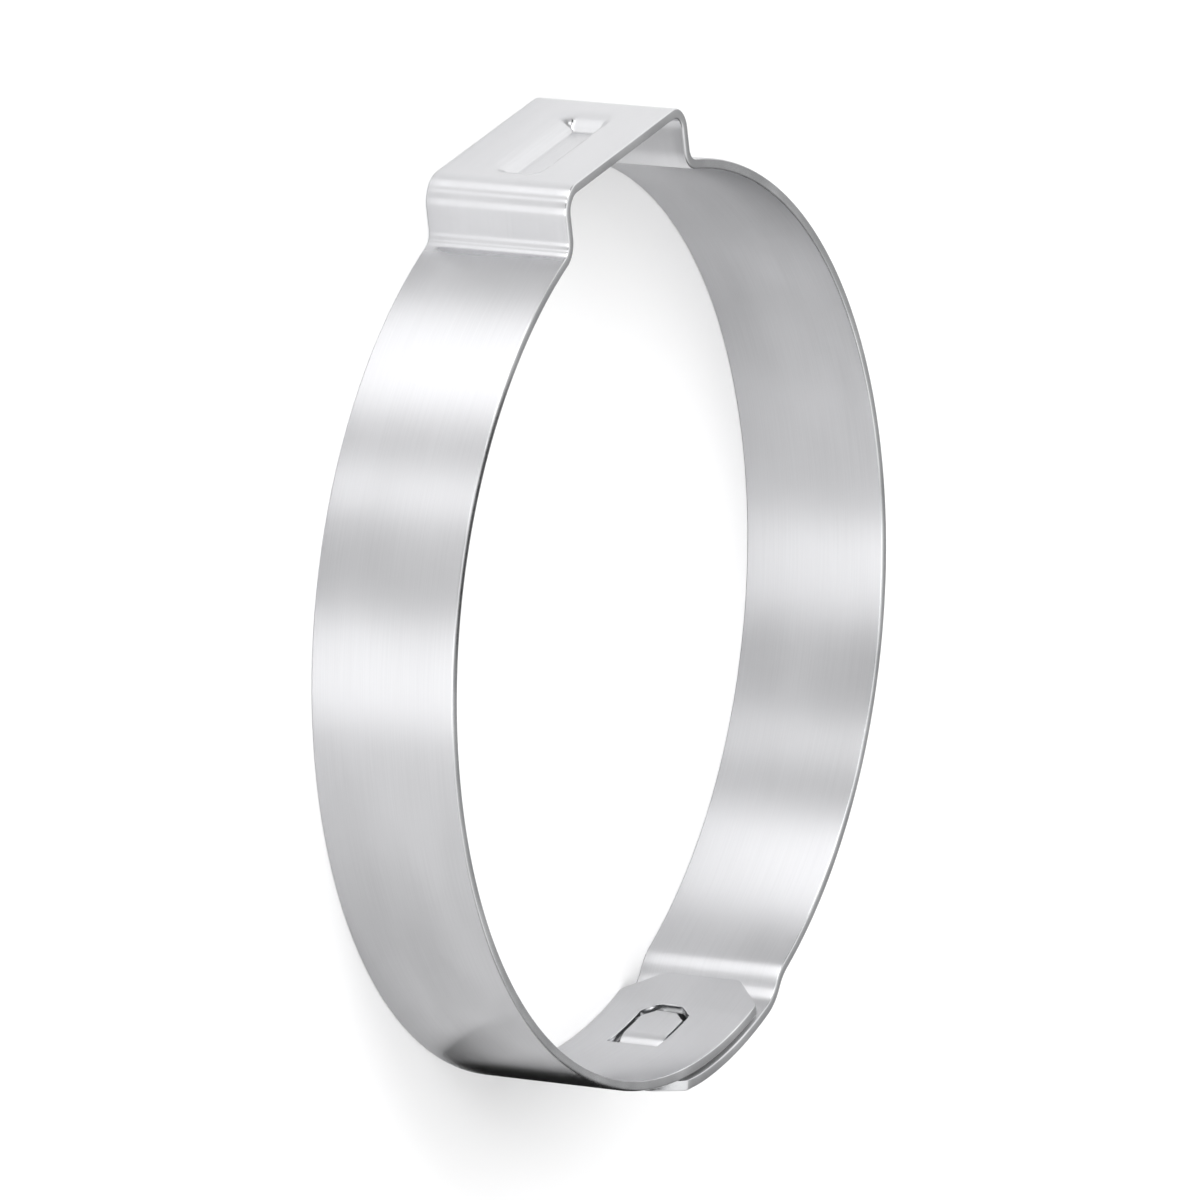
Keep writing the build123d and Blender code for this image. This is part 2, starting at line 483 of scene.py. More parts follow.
@dataclass
class Blank:
    """The flat strip before folding: x runs along it and y across it, in millimetres.

    Args:
        length: its length.
        width: its width.
        corner_facets: facets in each 45 degrees of a rounded corner.
        hole_margin: how far the cuts round a hole run on.
        mesh: its faces.
    """

    length: float
    width: float
    corner_facets: int = 6
    hole_margin: float = 0.5
    mesh: bmesh.types.BMesh = field(default_factory=bmesh.new)

    def __post_init__(self) -> None:
        """Start from one plain rectangle."""
        bmesh.ops.create_grid(self.mesh, x_segments=1, y_segments=1, size=0.5)
        span = self.mesh.verts[:]
        reach = max(v.co.x for v in span) - min(v.co.x for v in span)
        scale = Vector((self.length / reach, self.width / reach, 1))
        bmesh.ops.scale(self.mesh, vec=scale, verts=span)
        bmesh.ops.translate(self.mesh, vec=Vector((self.length / 2, 0, 0)), verts=span)

    def score(
        self, point: Vector, normal: Vector, zone: Zone | None = None, trim: bool = False
    ) -> None:
        """Cut the sheet's faces along a line.

        Args:
            point: a point of the line.
            normal: direction square to the line.
            zone: where faces are cut, by their middles; everywhere if None.
            trim: whether what lies beyond the line, the way the normal points, is removed.
        """
        faces = [f for f in self.mesh.faces if zone is None or zone.holds(f.calc_center_median())]
        edges = dict.fromkeys(e for f in faces for e in f.edges)
        verts = dict.fromkeys(v for f in faces for v in f.verts)
        bmesh.ops.bisect_plane(
            self.mesh,
            geom=[*faces, *edges, *verts],
            dist=CUT_TOLERANCE,
            plane_co=point,
            plane_no=normal,
            clear_outer=trim,
        )

    def round_corner(self, at_end: bool, upper: bool, chamfer: float, rounding: float) -> None:
        """Cut one corner off the strip, with both edges of the cut rounded.

        Args:
            at_end: whether the corner is at the strip's end, and not at its start.
            upper: whether it is at the upper rim.
            chamfer: how far the cut reaches along and across.
            rounding: radius at the cut's two edges.
        """
        inset = rounding * tan(radians(22.5))
        half = self.width / 2
        centres = [
            Vector((rounding, half - chamfer - inset)),
            Vector((chamfer + inset, half - rounding)),
        ]
        turn = 45 / self.corner_facets
        sweeps = [
            [turn * i for i in range(1, self.corner_facets + 1)],
            [45 + turn * i for i in range(1, self.corner_facets)],
        ]
        end = 1 if at_end else -1
        side = 1 if upper else -1
        for centre, angles in zip(centres, sweeps):
            for angle in angles:
                away = Vector((-cos(radians(angle)), sin(radians(angle))))
                point = centre + away * rounding
                along = self.length - point.x if at_end else point.x
                self.score(
                    Vector((along, point.y * side, 0)),
                    Vector((end * -away.x, away.y * side, 0)),
                    trim=True,
                )

    def remove(self, zone: Zone, corners: float = 0.0) -> None:
        """Punch a hole, with the two corners towards the strip's start cut off.

        Args:
            zone: the hole.
            corners: how far the corner cuts reach.
        """
        margin = zone.grown(self.hole_margin)
        for x in (zone.start, zone.end):
            self.score(Vector((x, 0, 0)), Vector((1, 0, 0)), margin)
        for y in (zone.low, zone.high):
            self.score(Vector((0, y, 0)), Vector((0, 1, 0)), margin)
        self.cut_corners(zone, corners)
        gone = [f for f in self.mesh.faces if self.in_hole(f.calc_center_median(), zone, corners)]
        bmesh.ops.delete(self.mesh, geom=gone, context="FACES")

    def cut_corners(self, zone: Zone, corners: float) -> None:
        """Score the slanting cuts across a zone's two corners towards the strip's start.

        Args:
            zone: the zone whose corners are cut.
            corners: how far the cuts reach; none if zero.
        """
        if corners <= 0:
            return
        for y, side in ((zone.low, -1), (zone.high, 1)):
            low, high = sorted((y, y - side * corners))
            square = Zone(zone.start, zone.start + corners, low, high)
            x = zone.start + corners
            self.score(Vector((x, 0, 0)), Vector((1, 0, 0)), zone)
            self.score(Vector((0, y - side * corners, 0)), Vector((0, 1, 0)), zone)
            self.score(Vector((x, y, 0)), Vector((-1, side, 0)), square)

    @staticmethod
    def in_hole(point: Vector, zone: Zone, corners: float) -> bool:
        """Whether a point lies in a zone less its cut corners.

        Args:
            point: point of the blank.
            zone: the zone.
            corners: how far its corner cuts reach.

        Returns:
            True if it lies in what is left of the zone.
        """
        if not zone.holds(point):
            return False
        rise = max(zone.low - point.y, point.y - zone.high)
        return (point.x - zone.start) - rise > corners


@dataclass
class ClampBand:
    """The clamp's one piece: blank, window, hook, fold, dimple, thickness and edges.

    Args:
        plan: where the strip's runs lie.
        coarse_facet: longest facet of a bend, in millimetres.
        bend_facet: largest turn of one facet, in degrees.
        row_height: height of a row of faces along the strip.
        dimple_row: height of a row where the dimple is pressed.
        hook_facet: length of the hook's facets.
        end_margin: length at each rounded end that has no fold lines.
        edge_facets: facets of each rounded edge.
        edge_angle: least angle of an edge that is rounded, in degrees.
    """

    plan: FoldPlan
    coarse_facet: float = 0.6
    bend_facet: float = 6.0
    row_height: float = 0.9
    dimple_row: float = 0.15
    hook_facet: float = 0.12
    end_margin: float = 0.35
    edge_facets: int = 3
    edge_angle: float = 50.0

    @property
    def sizes(self) -> ClampSizes:
        """Sizes of the clamp."""
        return self.plan.sizes

    def blank(self) -> Blank:
        """Cut the blank: rounded ends, fold lines, rows, window and slot.

        Returns:
            The flat blank, ready to be folded.
        """
        size = self.sizes
        blank = Blank(self.plan.strip.length, size.strip_width)
        for upper in (False, True):
            blank.round_corner(False, upper, size.tongue_chamfer, size.tongue_corner_round)
            blank.round_corner(True, upper, size.lap_chamfer, size.lap_corner_round)
        self.score_folds(blank)
        self.score_rows(blank)
        blank.remove(self.window_zone(), size.window_chamfer)
        self.cut_hook(blank)
        return blank

    def score_folds(self, blank: Blank) -> None:
        """Score the lines across the strip along which it is folded.

        Args:
            blank: the blank with its ends cut.
        """
        size = self.sizes
        start = size.tongue_chamfer + self.end_margin
        end = blank.length - size.lap_chamfer - self.end_margin
        for x in self.plan.strip.stations(self.coarse_facet, self.bend_facet):
            if start < x < end:
                blank.score(Vector((x, 0, 0)), Vector((1, 0, 0)))

    def score_rows(self, blank: Blank) -> None:
        """Score the lines along the strip, close together where the dimple is pressed.

        Args:
            blank: the blank with its fold lines.
        """
        size = self.sizes
        half = size.strip_width / 2
        body = Zone(
            size.tongue_chamfer + self.end_margin,
            blank.length - size.lap_chamfer - self.end_margin,
            -half,
            half,
        )
        count = round(size.strip_width / self.row_height)
        for i in range(1, count):
            row = -half + size.strip_width * i / count
            blank.score(Vector((0, row, 0)), Vector((0, 1, 0)), body)
        start = self.plan.strip.start_of(self.plan.plate)
        low, high = self.dimple_rows()
        plate = Zone(start, start + self.plan.plate.length, -half, half)
        count = round((high - low) / self.dimple_row)
        for i in range(count + 1):
            row = low + (high - low) * i / count
            blank.score(Vector((0, row, 0)), Vector((0, 1, 0)), plate)

    def window_zone(self) -> Zone:
        """Window in the tongue.

        Returns:
            The window's stretch of the blank.
        """
        size = self.sizes
        low = size.window_shift - size.window_width / 2
        start = size.window_setback
        return Zone(start, start + size.window_length, low, low + size.window_width)

    def hook_zone(self) -> Zone:
        """Hook in the blank, from its free end to its hinge.

        Returns:
            The hook's stretch of the blank.
        """
        size = self.sizes
        hinge, free = self.plan.hook_angles()
        half = size.window_width / 2 - size.hook_side_play
        return Zone(
            self.plan.lap_station(free),
            self.plan.lap_station(hinge),
            size.window_shift - half,
            size.window_shift + half,
        )

    def cut_hook(self, blank: Blank) -> None:
        """Cut the slit round the hook, and score the hook finely enough to bend.

        Args:
            blank: the blank with its fold lines and rows.
        """
        slit = self.sizes.hook_slit
        hook = self.hook_zone()
        outer = Zone(hook.start - slit, hook.end, hook.low - slit, hook.high + slit)
        margin = outer.grown(blank.hole_margin)
        for x in (outer.start, hook.start, hook.end):
            blank.score(Vector((x, 0, 0)), Vector((1, 0, 0)), margin)
        for y in (outer.low, hook.low, hook.high, outer.high):
            blank.score(Vector((0, y, 0)), Vector((0, 1, 0)), margin)
        blank.cut_corners(hook, self.sizes.hook_chamfer)
        gone = [
            face
            for face in blank.mesh.faces
            if outer.holds(face.calc_center_median())
            and not Blank.in_hole(face.calc_center_median(), hook, self.sizes.hook_chamfer)
        ]
        bmesh.ops.delete(blank.mesh, geom=gone, context="FACES")
        count = round((hook.end - hook.start) / self.hook_facet)
        for i in range(1, count):
            x = hook.start + (hook.end - hook.start) * i / count
            blank.score(Vector((x, 0, 0)), Vector((1, 0, 0)), hook)

    def dimple(self, across: float, height: float) -> float:
        """How far the plate is pressed in at a point.

        Args:
            across: distance from the plate's middle, towards the left leg.
            height: height from the strip's middle.

        Returns:
            The depth there.
        """
        size = self.sizes
        flat = size.ear_opening / 2 - size.ear_corner_radius
        low, high = self.dimple_rows()
        share = 1.0
        for reach, run in (
            (flat - size.dimple_left_margin - across, size.dimple_end_run),
            (flat - size.dimple_right_margin + across, size.dimple_end_run),
            (height - low, size.dimple_low_run),
            (high - height, size.dimple_high_run),
        ):
            share *= min(max(reach / run, 0.0), 1.0) ** size.dimple_ease
        return size.dimple_depth * share

    def dimple_rows(self) -> tuple[float, float]:
        """Heights between which the dimple lies, with its rounded shoulders.

        Returns:
            The lower and the upper height, from the strip's middle.
        """
        size = self.sizes
        reach = size.dimple_width / 2
        return (
            size.dimple_shift - reach - size.dimple_shoulder,
            size.dimple_shift + reach + size.dimple_shoulder,
        )

    def fold(self, blank: Blank) -> None:
        """Fold the blank in place, press the dimple and bend the hook in.

        Args:
            blank: the flat blank, which ends as the folded middle surface.
        """
        mesh = blank.mesh
        grain = mesh.loops.layers.uv.new(MAP_NAME)
        for face in mesh.faces:
            face.smooth = True
            for loop in face.loops:
                loop[grain].uv = loop.vert.co.xy * MAP_SCALE
        hook = self.hook_zone()
        tab = {
            vert
            for face in mesh.faces
            if hook.holds(face.calc_center_median())
            for vert in face.verts
            if vert.co.x < hook.end - 1e-3
        }
        plate_start = self.plan.strip.start_of(self.plan.plate)
        plate_end = plate_start + self.plan.plate.length
        for vert in mesh.verts:
            along, height = vert.co.x, vert.co.y
            if vert in tab:
                reach = (hook.end - along) / (hook.end - hook.start)
                point, outward = self.plan.hook.place(reach * self.plan.hook.length)
            else:
                point, outward = self.plan.strip.place(along)
            if plate_start < along < plate_end:
                point = point - outward * self.dimple(point.y, height)
            vert.co = Vector((point.x, point.y, height))
        bmesh.ops.scale(mesh, vec=Vector((MM, MM, MM)), verts=mesh.verts[:])

    def build(self) -> bpy.types.Object:
        """Make the finished piece.

        Returns:
            The band, with its thickness and rounded edges as modifiers.
        """
        size = self.sizes
        blank = self.blank()
        self.fold(blank)
        mesh = bpy.data.meshes.new("clamp_band_steel")
        blank.mesh.to_mesh(mesh)
        blank.mesh.free()
        piece = bpy.data.objects.new("clamp_band_steel", mesh)
        bpy.context.scene.collection.objects.link(piece)
        sheet = piece.modifiers.new("sheet", "SOLIDIFY")
        sheet.thickness = size.strip_thickness * MM
        sheet.offset = 0
        sheet.use_even_offset = True
        sheet.material_offset_rim = Surface.CUT_EDGE.value
        edges = piece.modifiers.new("broken_edges", "BEVEL")
        edges.width = size.edge_round * MM
        edges.segments = self.edge_facets
        edges.limit_method = "ANGLE"
        edges.angle_limit = radians(self.edge_angle)
        edges.use_clamp_overlap = False
        edges.offset_type = "ABSOLUTE"
        shade = piece.modifiers.new("shade", "WEIGHTED_NORMAL")
        shade.mode = "FACE_AREA"
        shade.weight = 100
        LOG.info("%s: %d faces before thickness", piece.name, len(mesh.polygons))
        return piece


def shader(name: str) -> tuple[bpy.types.Material, bpy.types.NodeTree, bpy.types.Node]:
    """Start a new material.

    Args:
        name: what it is called.

    Returns:
        The material, its node tree and its main shader.
    """
    material = bpy.data.materials.new(name)
    material.use_nodes = True
    tree = material.node_tree
    return material, tree, tree.nodes["Principled BSDF"]


def vector_math(
    tree: bpy.types.NodeTree,
    operation: str,
    value: bpy.types.NodeSocket,
    other: tuple[float, float, float] = (0, 0, 0),
) -> bpy.types.NodeSocket:
    """Add a vector operation.

    Args:
        tree: node tree.
        operation: what is worked out.
        value: first vector.
        other: second vector.

    Returns:
        The result.
    """
    node = tree.nodes.new("ShaderNodeVectorMath")
    node.operation = operation
    node.inputs[1].default_value = other
    tree.links.new(value, node.inputs[0])
    return node.outputs["Value" if operation == "DOT_PRODUCT" else "Vector"]


def number_math(
    tree: bpy.types.NodeTree, operation: str, *values: bpy.types.NodeSocket | float
) -> bpy.types.NodeSocket:
    """Add an operation on numbers.

    Args:
        tree: node tree.
        operation: what is worked out.
        values: the numbers, fixed or from other nodes.

    Returns:
        The result.
    """
    node = tree.nodes.new("ShaderNodeMath")
    node.operation = operation
    for value, socket in zip(values, node.inputs):
        if isinstance(value, bpy.types.NodeSocket):
            tree.links.new(value, socket)
        else:
            socket.default_value = value
    return node.outputs[0]


def ramp(
    tree: bpy.types.NodeTree,
    value: bpy.types.NodeSocket,
    start: float,
    end: float,
    first: float,
    last: float,
) -> bpy.types.NodeSocket:
    """Add a smooth change from one level to another.

    Args:
        tree: node tree.
        value: what the change goes by.
        start: value at which it starts.
        end: value at which it ends.
        first: level before the start.
        last: level past the end.

    Returns:
        The level.
    """
    node = tree.nodes.new("ShaderNodeMapRange")
    node.interpolation_type = "SMOOTHSTEP"
    node.inputs["From Min"].default_value = start
    node.inputs["From Max"].default_value = end
    node.inputs["To Min"].default_value = first
    node.inputs["To Max"].default_value = last
    tree.links.new(value, node.inputs["Value"])
    return node.outputs["Result"]


@dataclass(frozen=True)
class Noise:
    """One noise pattern laid on the strip's own map, stretched along its grain.

    Args:
        along: repeats in a centimetre along the strip.
        across: repeats in a centimetre across it.
        detail: octaves of finer noise.
        solid: whether it goes through the metal, and not over the strip's map.
    """

    along: float
    across: float
    detail: float = 2.0
    solid: bool = False

    def lay(self, tree: bpy.types.NodeTree) -> bpy.types.NodeSocket:
        """Add the pattern to a material.

        Args:
            tree: the material's node tree.

        Returns:
            The output that carries the noise, from 0 to 1.
        """
        stretch = tree.nodes.new("ShaderNodeMapping")
        noise = tree.nodes.new("ShaderNodeTexNoise")
        noise.inputs["Scale"].default_value = 1
        noise.inputs["Detail"].default_value = self.detail
        if self.solid:
            where = tree.nodes.new("ShaderNodeTexCoord").outputs["Object"]
            scale = Vector((self.along, self.along, self.across)) / (10 * MM)
        else:
            grain = tree.nodes.new("ShaderNodeUVMap")
            grain.uv_map = MAP_NAME
            where = grain.outputs["UV"]
            scale = Vector((self.along, self.across, 1))
            noise.noise_dimensions = "2D"
        stretch.inputs["Scale"].default_value = scale
        tree.links.new(where, stretch.inputs["Vector"])
        tree.links.new(stretch.outputs["Vector"], noise.inputs["Vector"])
        return noise.outputs["Fac"]


def remap(
    tree: bpy.types.NodeTree, value: bpy.types.NodeSocket, low: float, high: float
) -> bpy.types.NodeSocket:
    """Spread the middle of a noise over a range.

    Args:
        tree: the material's node tree.
        value: the noise, from 0 to 1.
        low: result at 0.3.
        high: result at 0.7.

    Returns:
        The output that carries the result.
    """
    spread = tree.nodes.new("ShaderNodeMapRange")
    spread.inputs["From Min"].default_value = 0.3
    spread.inputs["From Max"].default_value = 0.7
    spread.inputs["To Min"].default_value = low
    spread.inputs["To Max"].default_value = high
    tree.links.new(value, spread.inputs["Value"])
    return spread.outputs["Result"]


def tint(
    tree: bpy.types.NodeTree,
    value: bpy.types.NodeSocket,
    low: tuple[float, float, float],
    high: tuple[float, float, float],
) -> bpy.types.NodeSocket:
    """Mix two colours by a noise.

    Args:
        tree: the material's node tree.
        value: the share of the second colour.
        low: colour at 0.
        high: colour at 1.

    Returns:
        The output that carries the colour.
    """
    mix = tree.nodes.new("ShaderNodeMix")
    mix.data_type = "RGBA"
    colors = [socket for socket in mix.inputs if socket.type == "RGBA"]
    colors[0].default_value = (*low, 1)
    colors[1].default_value = (*high, 1)
    tree.links.new(value, mix.inputs["Factor"])
    return next(socket for socket in mix.outputs if socket.type == "RGBA")


def relief(
    tree: bpy.types.NodeTree, layers: list[tuple[bpy.types.NodeSocket, float]]
) -> bpy.types.NodeSocket:
    """Stack bumps over each other.

    Args:
        tree: the material's node tree.
        layers: height pattern of each bump, and its height in millimetres.

    Returns:
        The output that carries the bumped normal.
    """
    normal = None
    for value, height in layers:
        bump = tree.nodes.new("ShaderNodeBump")
        bump.inputs["Strength"].default_value = 1
        bump.inputs["Distance"].default_value = height * MM
        tree.links.new(value, bump.inputs["Height"])
        if normal is not None:
            tree.links.new(normal, bump.inputs["Normal"])
        normal = bump.outputs["Normal"]
    return normal


@dataclass(frozen=True)
class RolledSteel:
    """Satin skin of cold-rolled stainless strip, with its grain along the strip.

    Args:
        color: the steel's colour.
        pale: its colour in the paler streaks of the grain.
        smooth: roughness where the rolls left it smoothest.
        rough: roughness where they left it dullest.
        anisotropy: how much duller it mirrors across the grain than along it.
        grain_depth: height of the grain's streaks, in millimetres.
        wave_depth: height of the strip's slow waves.
        burnished: least and most roughness on the ear, which the press polished.
        ear: lengths along the strip between which the ear stands.
        ear_feather: length over which the ear's polish fades out.
        streaks: the grain, fine lines along the strip.
        clouds: patches of more and less gloss.
        waves: slow waves of a strip that isn't quite flat.
    """

    color: tuple[float, float, float] = (0.602, 0.603, 0.616)
    pale: tuple[float, float, float] = (0.626, 0.627, 0.64)
    smooth: float = 0.34
    rough: float = 0.4
    anisotropy: float = 1.0
    grain_depth: float = 0.0008
    wave_depth: float = 0.006
    burnished: tuple[float, float] = (0.22, 0.26)
    ear: tuple[float, float] = (0.0, 0.0)
    ear_feather: float = 0.8
    streaks: Noise = Noise(along=1.5, across=160, detail=3)
    clouds: Noise = Noise(along=0.9, across=2.5, detail=3)
    waves: Noise = Noise(along=1.6, across=0.7, detail=1)

    def material(self) -> bpy.types.Material:
        """Make the material of the strip's two skins.

        Returns:
            The material.
        """
        material, tree, main = shader("rolled_steel")
        links = tree.links
        main.inputs["Metallic"].default_value = 1
        main.inputs["Anisotropic"].default_value = self.anisotropy
        main.inputs["Anisotropic Rotation"].default_value = 0.25
        tangent = tree.nodes.new("ShaderNodeTangent")
        tangent.direction_type = "UV_MAP"
        tangent.uv_map = MAP_NAME
        links.new(tangent.outputs["Tangent"], main.inputs["Tangent"])
        streaks, clouds, waves = (n.lay(tree) for n in (self.streaks, self.clouds, self.waves))
        color = tint(tree, remap(tree, streaks, 0, 1), self.color, self.pale)
        links.new(color, main.inputs["Base Color"])
        rolled = remap(tree, clouds, self.smooth, self.rough)
        pressed = remap(tree, clouds, *self.burnished)
        less = number_math(tree, "SUBTRACT", rolled, pressed)
        less = number_math(tree, "MULTIPLY", less, self.ear_share(tree))
        links.new(number_math(tree, "SUBTRACT", rolled, less), main.inputs["Roughness"])
        bumps = [(waves, self.wave_depth), (streaks, self.grain_depth)]
        links.new(relief(tree, bumps), main.inputs["Normal"])
        return material

    def ear_share(self, tree: bpy.types.NodeTree) -> bpy.types.NodeSocket:
        """Share of the polish that the press leaves on the ear.

        Args:
            tree: the material's node tree.

        Returns:
            The output that carries 1 on the ear and 0 on the rest of the strip.
        """
        grain = tree.nodes.new("ShaderNodeUVMap")
        grain.uv_map = MAP_NAME
        split = tree.nodes.new("ShaderNodeSeparateXYZ")
        tree.links.new(grain.outputs["UV"], split.inputs[0])
        start, end = (length * MAP_SCALE for length in self.ear)
        feather = self.ear_feather * MAP_SCALE
        rise = ramp(tree, split.outputs["X"], start - feather, start, 0, 1)
        fall = ramp(tree, split.outputs["X"], end, end + feather, 1, 0)
        return number_math(tree, "MULTIPLY", rise, fall)


@dataclass(frozen=True)
class CutEdge:
    """Sheared edge of the strip, more uneven than its skins.

    Args:
        color: the steel's colour.
        pale: its colour where the edge is worn bright.
        smooth: roughness of the sheared part.
        rough: roughness of the torn part.
        tear_depth: height of the tears, in millimetres.
        tears: fine tears that shearing leaves.
        wear: where the edge is worn bright.
    """

    color: tuple[float, float, float] = (0.44, 0.445, 0.455)
    pale: tuple[float, float, float] = (0.64, 0.645, 0.655)
    smooth: float = 0.2
    rough: float = 0.27
    tear_depth: float = 0.0002
    tears: Noise = Noise(along=60, across=30, detail=3, solid=True)
    wear: Noise = Noise(along=2.2, across=2.2, detail=2, solid=True)

    def material(self) -> bpy.types.Material:
        """Make the material of the strip's edges.

        Returns:
            The material.
        """
        material, tree, main = shader("cut_edge")
        links = tree.links
        main.inputs["Metallic"].default_value = 1
        tears, wear = self.tears.lay(tree), self.wear.lay(tree)
        color = tint(tree, remap(tree, wear, 0, 1), self.color, self.pale)
        links.new(color, main.inputs["Base Color"])
        links.new(remap(tree, tears, self.smooth, self.rough), main.inputs["Roughness"])
        links.new(relief(tree, [(tears, self.tear_depth)]), main.inputs["Normal"])
        return material


@dataclass(frozen=True)
class Softbox:
    """One tall soft light of the studio.

    Args:
        azimuth: the way that it stands in, round the axis.
        half_width: half of the angle that it fills at its full level.
        feather: angle over which it fades out on each side.
        level: its strength.
    """

    azimuth: float
    half_width: float
    feather: float
    level: float


def matt(name: str, tone: float) -> bpy.types.Material:
    """Make a grey material with no gloss.

    Args:
        name: what it is called.
        tone: how pale it is, from 0 to 1.

    Returns:
        The material.
    """
    material, _, main = shader(name)
    main.inputs["Base Color"].default_value = (tone, tone, tone, 1)
    main.inputs["Roughness"].default_value = 1
    main.inputs["Specular IOR Level"].default_value = 0
    return material


def studio_piece(
    name: str, form: bmesh.types.BMesh, material: bpy.types.Material
) -> bpy.types.Object:
    """Set up a piece of the studio.

    Args:
        name: what it is called.
        form: its shape, which is used up.
        material: what it is made of.

    Returns:
        The piece, in the scene.
    """
    mesh = bpy.data.meshes.new(name)
    form.to_mesh(mesh)
    form.free()
    mesh.materials.append(material)
    piece = bpy.data.objects.new(name, mesh)
    bpy.context.scene.collection.objects.link(piece)
    return piece


@dataclass(frozen=True)
class DarkCard:
    """Small dark card that only the steel mirrors.

    Args:
        name: what it is called.
        centre: its middle, in millimetres.
        azimuth: the way that it faces, round the axis.
        elevation: the way that it faces, above the floor.
        width: its level side.
        height: its other side.
        tone: how pale it is, from 0 to 1.
    """

    name: str
    centre: tuple[float, float, float]
    azimuth: float
    elevation: float
    width: float
    height: float
    tone: float = 0.01

    def build(self) -> bpy.types.Object:
        """Make the card.

        Returns:
            The card, which lights and shades nothing.
        """
        form = bmesh.new()
        bmesh.ops.create_grid(form, x_segments=1, y_segments=1, size=0.5)
        side = Vector((*polar(1, self.azimuth + 90), 0))
        rise = radians(self.elevation)
        facing = Vector((*polar(cos(rise), self.azimuth), sin(rise)))
        turn = Matrix((side, facing.cross(side), facing)).transposed()
        size = Vector((self.width, self.height, 1))
        bmesh.ops.scale(form, vec=size * MM, verts=form.verts[:])
        bmesh.ops.transform(form, matrix=turn.to_4x4(), verts=form.verts[:])
        bmesh.ops.translate(form, vec=Vector(self.centre) * MM, verts=form.verts[:])
        card = studio_piece(self.name, form, matt("dark_card", self.tone))
        card.visible_camera = False
        card.visible_diffuse = False
        card.visible_shadow = False
        return card


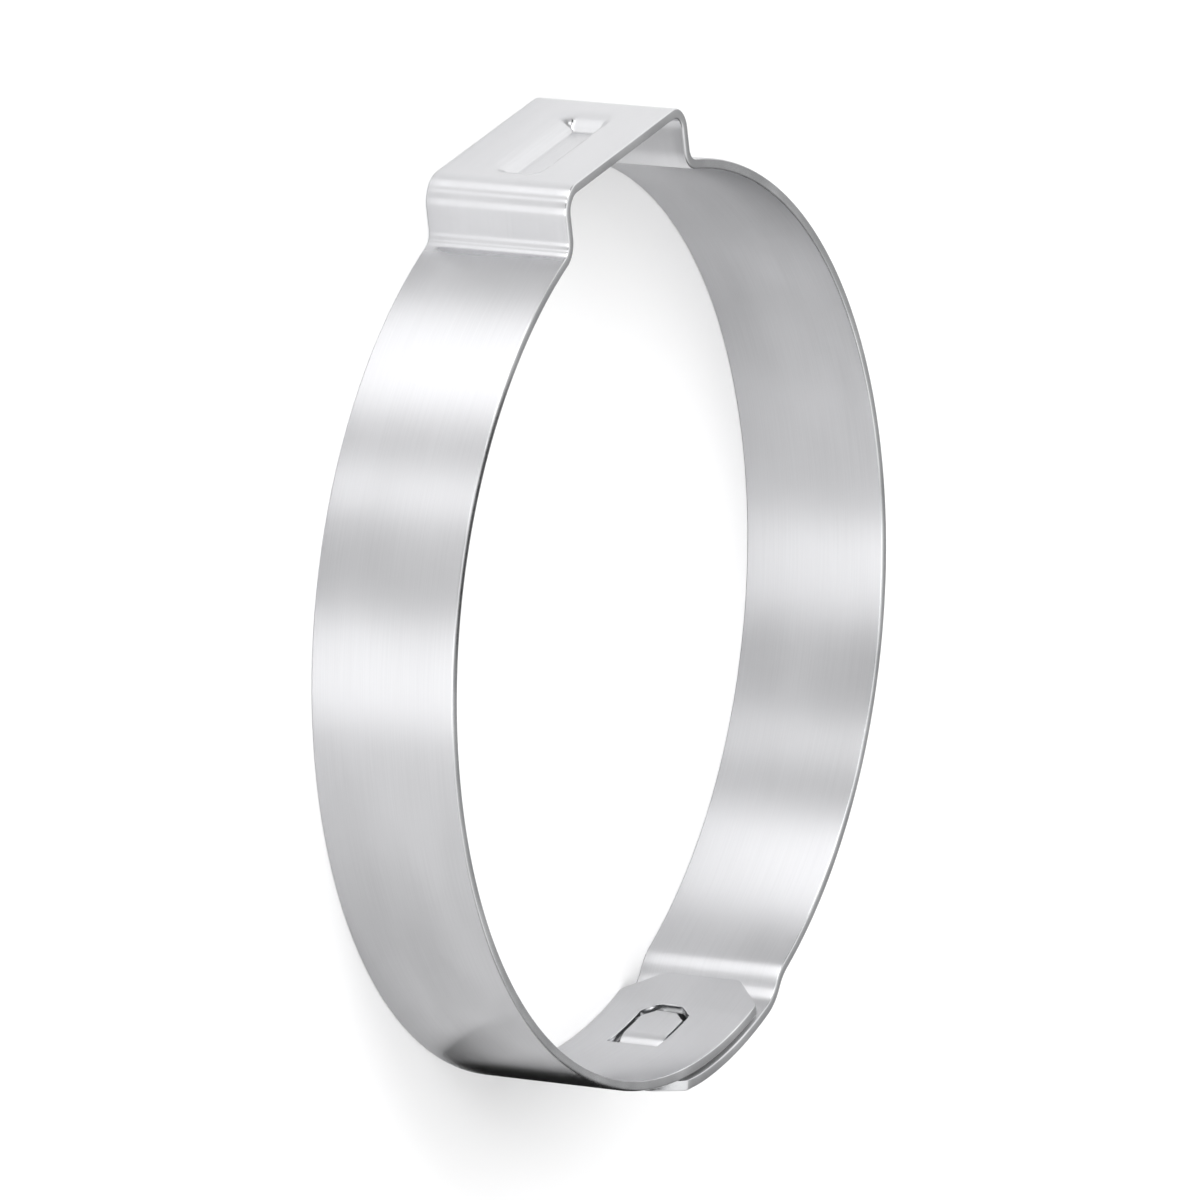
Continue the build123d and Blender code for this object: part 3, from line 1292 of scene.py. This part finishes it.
@dataclass
class Studio:
    """Plain pale floor, camera, and a soft studio all round.

    Args:
        floor_height: height of the floor, in metres.
        room_level: strength of the even light all round.
        ceiling_level: strength of the light from overhead.
        ceiling_rise: directions, by their height, between which the ceiling's light sets in.
        lamp_top: directions between which the soft lights fade out upwards.
        floor_tone: how pale the floor is, from 0 to 1.
        floor_reach: how far the floor reaches each way, in metres.
        softboxes: the soft lights.
        cards: the dark cards.
        camera_azimuth: the way that the camera stands in, round the axis.
        camera_elevation: how high it stands, in degrees.
        camera_roll: its turn about its line of sight.
        camera_distance: its distance from what it looks at, in millimetres.
        camera_aim: the point that it looks at.
        lens: its focal length.
    """

    floor_height: float
    room_level: float = 0.22
    ceiling_level: float = 1.35
    ceiling_rise: tuple[float, float] = (0.5, 0.85)
    lamp_top: tuple[float, float] = (0.6, 0.85)
    floor_tone: float = 0.93
    floor_reach: float = 4.0
    softboxes: tuple[Softbox, ...] = (
        Softbox(azimuth=6, half_width=8, feather=13, level=3.9),
        Softbox(azimuth=40, half_width=2, feather=8, level=2.8),
        Softbox(azimuth=83, half_width=6, feather=13, level=2.7),
        Softbox(azimuth=108, half_width=6, feather=38, level=0.7),
        Softbox(azimuth=-62, half_width=12, feather=28, level=1.15),
        Softbox(azimuth=250, half_width=12, feather=14, level=0.25),
    )
    cards: tuple[DarkCard, ...] = (
        DarkCard("low_card", (-26.8, 13.2, -4.45), 150, elevation=90, width=12, height=5.2),
        DarkCard("side_card", (-27.9, 11.2, 3.5), 38.6, elevation=0, width=6, height=16),
        DarkCard("top_card", (4.3, -2.2, 18.3), 65.4, elevation=-27.4, width=15, height=11),
    )
    camera_azimuth: float = 65.4014
    camera_elevation: float = 27.4095
    camera_roll: float = 95.6305
    camera_distance: float = 753.2
    camera_aim: tuple[float, float, float] = (1.0314, -0.2117, -0.4567)
    lens: float = 392.226

    def floor(self) -> bpy.types.Object:
        """Make the floor that the clamp lies on.

        Returns:
            The floor.
        """
        form = bmesh.new()
        bmesh.ops.create_grid(form, x_segments=1, y_segments=1, size=self.floor_reach)
        bmesh.ops.translate(form, vec=Vector((0, 0, self.floor_height)), verts=form.verts[:])
        floor = studio_piece("studio_floor", form, matt("pale_floor", self.floor_tone))
        return floor

    def camera(self) -> bpy.types.Object:
        """Make the camera that looks down on the clamp.

        Returns:
            The camera.
        """
        data = bpy.data.cameras.new("view")
        data.lens = self.lens
        data.sensor_width = 36
        data.clip_start = 0.05
        camera = bpy.data.objects.new("view", data)
        bpy.context.scene.collection.objects.link(camera)
        azimuth, elevation = radians(self.camera_azimuth), radians(self.camera_elevation)
        back = Vector(
            (cos(elevation) * cos(azimuth), cos(elevation) * sin(azimuth), sin(elevation))
        )
        turn = back.to_track_quat("Z", "Y").to_matrix().to_4x4()
        roll = Matrix.Rotation(radians(self.camera_roll), 4, "Z")
        place = (Vector(self.camera_aim) + back * self.camera_distance) * MM
        camera.matrix_world = Matrix.Translation(place) @ turn @ roll
        bpy.context.scene.camera = camera
        return camera

    def world(self) -> None:
        """Light the studio: an even room, a pale ceiling, and upright soft lights round it."""
        world = bpy.data.worlds.new("studio")
        bpy.context.scene.world = world
        world.use_nodes = True
        tree = world.node_tree
        where = tree.nodes.new("ShaderNodeTexCoord").outputs["Generated"]
        split = tree.nodes.new("ShaderNodeSeparateXYZ")
        tree.links.new(where, split.inputs[0])
        height = split.outputs["Z"]
        ground = vector_math(tree, "NORMALIZE", vector_math(tree, "MULTIPLY", where, (1, 1, 0)))
        total = ramp(tree, height, *self.ceiling_rise, self.room_level, self.ceiling_level)
        below = ramp(tree, height, *self.lamp_top, 1, 0)
        for box in self.softboxes:
            facing = vector_math(tree, "DOT_PRODUCT", ground, (*polar(1, box.azimuth), 0))
            angle = number_math(tree, "ARCCOSINE", facing)
            reach = radians(box.half_width), radians(box.half_width + box.feather)
            share = ramp(tree, angle, *reach, box.level, 0)
            total = number_math(tree, "ADD", total, number_math(tree, "MULTIPLY", share, below))
        background = tree.nodes["Background"]
        background.inputs["Color"].default_value = (1, 1, 1, 1)
        tree.links.new(total, background.inputs["Strength"])


def write_sizes() -> None:
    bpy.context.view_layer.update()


def main() -> None:
    """Build the clamp, dress it, and set up the studio."""
    logging.basicConfig(level=logging.INFO, format="%(name)s: %(message)s")
    low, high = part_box("clamp_band")
    seat = next(m for m in frame["record"]["mounts"] if m["name"] == "hose_seat")
    sizes = ClampSizes(bore_radius=seat["dims"]["r_mm"], strip_width=(high.z - low.z) / MM)
    plan = FoldPlan(sizes)
    piece = ClampBand(plan).build()
    skin = RolledSteel(ear=plan.ear_span())
    for surface, finish in ((Surface.SKIN, skin), (Surface.CUT_EDGE, CutEdge())):
        piece.data.materials.append(finish.material())
        LOG.info("%s: %s", surface.name.lower(), finish)
    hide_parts("clamp_band")
    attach(piece, "root")
    studio = Studio(floor_height=low.z)
    for item in (studio.floor(), *(card.build() for card in studio.cards), studio.camera()):
        LOG.info("%s: set up in the studio", item.name)
    studio.world()
    bpy.context.scene.view_settings.view_transform = "Standard"
    write_sizes()


if __name__ == "__main__":
    main()
